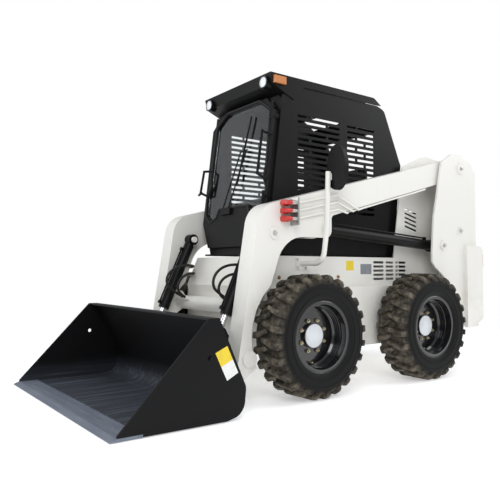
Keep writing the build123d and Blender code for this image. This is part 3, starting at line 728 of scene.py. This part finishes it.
vinyl = mottled("black_vinyl", 6.0, (0.014, 0.014, 0.015), (0.026, 0.026, 0.027),
                roughness=0.5, Specular_IOR_Level=0.3)
vinyl.bump(vinyl.noise(260.0, 2.0), 0.0006, 0.6)
pads = []
for low, high in SEAT_PADS:
    deselect()
    low, high = Vector(low), Vector(high)
    bpy.ops.mesh.primitive_cube_add(size=1, location=(low + high) / 2, scale=high - low)
    bpy.ops.object.transform_apply(location=False, rotation=False, scale=True)
    pad = rounded(PAD_EDGE, 3)
    bpy.ops.object.mode_set(mode="EDIT")
    bpy.ops.mesh.select_all(action="SELECT")
    bpy.ops.mesh.subdivide(number_cuts=6)
    bpy.ops.object.mode_set(mode="OBJECT")
    half = (high - low) / 2
    thin = min(range(3), key=lambda axis: half[axis])
    wide = [axis for axis in range(3) if axis != thin]
    for vertex in pad.data.vertices:
        edge = max(abs(vertex.co[axis]) / half[axis] for axis in wide)
        vertex.co[thin] *= 1 - PAD_FALL * min(edge, 1) ** 3
    smooth = pad.modifiers.new("smooth", "SUBSURF")
    smooth.levels = 1
    smooth.render_levels = 1
    bpy.ops.object.modifier_apply(modifier=smooth.name)
    pads.append(pad)
seat_pads = settle(join(pads), "seat_pads", "machine", vinyl, 80)
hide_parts("seat")


# Tilt hoses
# Black wire-braided hoses, two each side, that leave the arm's inner face in a loop and end
# in the unions on the cross tube.

HOSE_DIAMETER = 0.018
CRIMP_RADIUS = 0.0118
CRIMP_LENGTH = 0.036
CRIMP_IN = 0.020
HOSE_ROUTES = {
    "upper": (0.5917, [(0.5065, 0.440, 0.822), (0.5065, 0.368, 0.822), (0.5525, 0.318, 0.832),
                       (0.6315, 0.304, 0.834), (0.7115, 0.308, 0.812), (0.7685, 0.312, 0.758),
                       (0.7705, 0.308, 0.688), (0.7065, 0.302, 0.640), (0.642112, 0.302, 0.6025)]),
    "lower": (0.4512, [(0.5065, 0.440, 0.770), (0.5065, 0.368, 0.770), (0.5545, 0.304, 0.776),
                       (0.6205, 0.276, 0.770), (0.6785, 0.268, 0.736), (0.7065, 0.268, 0.682),
                       (0.6905, 0.268, 0.630), (0.642112, 0.268, 0.6025)]),
}

hose_cover = mottled("hose_cover", 35.0, (0.010, 0.010, 0.011), (0.024, 0.023, 0.022),
                     roughness=0.55, Specular_IOR_Level=0.3)
hose_cover.bump(hose_cover.noise(500.0, 1.0), 0.0003, 0.4)
for row, (hose_length, route) in HOSE_ROUTES.items():
    for side, side_name in SIDES:
        line = bpy.data.curves.new("hose_" + side_name + "_" + row, "CURVE")
        line.dimensions = "3D"
        line.bevel_depth = HOSE_DIAMETER / 2
        line.bevel_resolution = 4
        line.resolution_u = 16
        line.use_fill_caps = True
        run = line.splines.new("NURBS")
        run.points.add(len(route) - 1)
        for point, (x, y, z) in zip(run.points, route):
            point.co = (x, side * y, z, 1)
        run.order_u = 3
        run.use_endpoint_u = True
        hose = bpy.data.objects.new("hose_" + side_name + "_" + row, line)
        bpy.context.scene.collection.objects.link(hose)
        line.materials.append(hose_cover.material)
        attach(hose, "lift_arms")
        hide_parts("tilt_hose_" + side_name + "_" + row)
        exit_x, exit_y, exit_z = route[0]
        crimp = drum((exit_x, side * (exit_y - CRIMP_IN), exit_z), "Y", CRIMP_RADIUS, CRIMP_LENGTH,
                     0.0015, 24)
        settle(crimp, "hose_crimp_" + side_name + "_" + row, "lift_arms", zinc)


# Rods, pins, glass, lenses, couplings and the engine
# Ground hard chrome on the rods, turned pins, laminated door glass, pressed amber lenses with
# square prisms, plated quick couplings with red dust caps, and a cast iron block.

CHROME_BRIGHT = (0.78, 0.78, 0.80)
CHROME_DULL = (0.66, 0.66, 0.68)
AMBER_BRIGHT = (0.62, 0.22, 0.04)
AMBER_DEEP = (0.38, 0.10, 0.012)
PRISM_TURNS = 420

chrome = Finish("hard_chrome", roughness=0.16, Metallic=1.0)
ground = chrome.noise(1.0, 3.0, 0.5, chrome.stretched((4, 260, 4)))
chrome.set("Base Color", chrome.mix(ground, CHROME_BRIGHT, CHROME_DULL))
chrome.set("Roughness", ground * 0.08 + 0.12)
chrome.on(*cad_pieces("lift_rod", "tilt_rod"))
turned = mottled("turned_steel", 60.0, (0.54, 0.54, 0.54), (0.40, 0.39, 0.38), (0.35, 0.7),
                 roughness=0.3, Metallic=1.0)
turned.on("frame_pins")
glass = mottled("safety_glass", 2.5, (0.88, 0.92, 0.94), (0.80, 0.85, 0.88), (0.35, 0.75),
                roughness=0.02, Transmission_Weight=1.0, IOR=1.45)
glass.on("door_glass")
amber = Finish("amber_lens", roughness=0.25, Coat_Weight=0.5)
amber_x, _, amber_z = amber.axes(amber.place())
prisms = (amber_x * PRISM_TURNS).math("SINE") * (amber_z * PRISM_TURNS).math("SINE")
amber.set("Base Color", amber.mix(prisms.ramp(-0.6, 0.6), AMBER_BRIGHT, AMBER_DEEP))
amber.bump(prisms, 0.0015, 0.5)
amber.on("marker_lamps")
iron = mottled("cast_iron", 20.0, (0.06, 0.06, 0.065), (0.10, 0.10, 0.105), roughness=0.7)
iron.bump(iron.noise(150.0, 3.0), 0.001, 0.5)
iron.on("engine_block", "seat_base")
red_plastic = mottled("red_plastic", 30.0, (0.62, 0.025, 0.018), (0.48, 0.02, 0.015),
                      roughness=0.35, Coat_Weight=0.3)
red_plastic.on("coupler_caps", "tail_lamps")
plated = mottled("plated_couplings", 45.0, (0.58, 0.58, 0.57), (0.44, 0.43, 0.41),
                 roughness=0.3, Metallic=1.0)
plated.on("coupler_block")
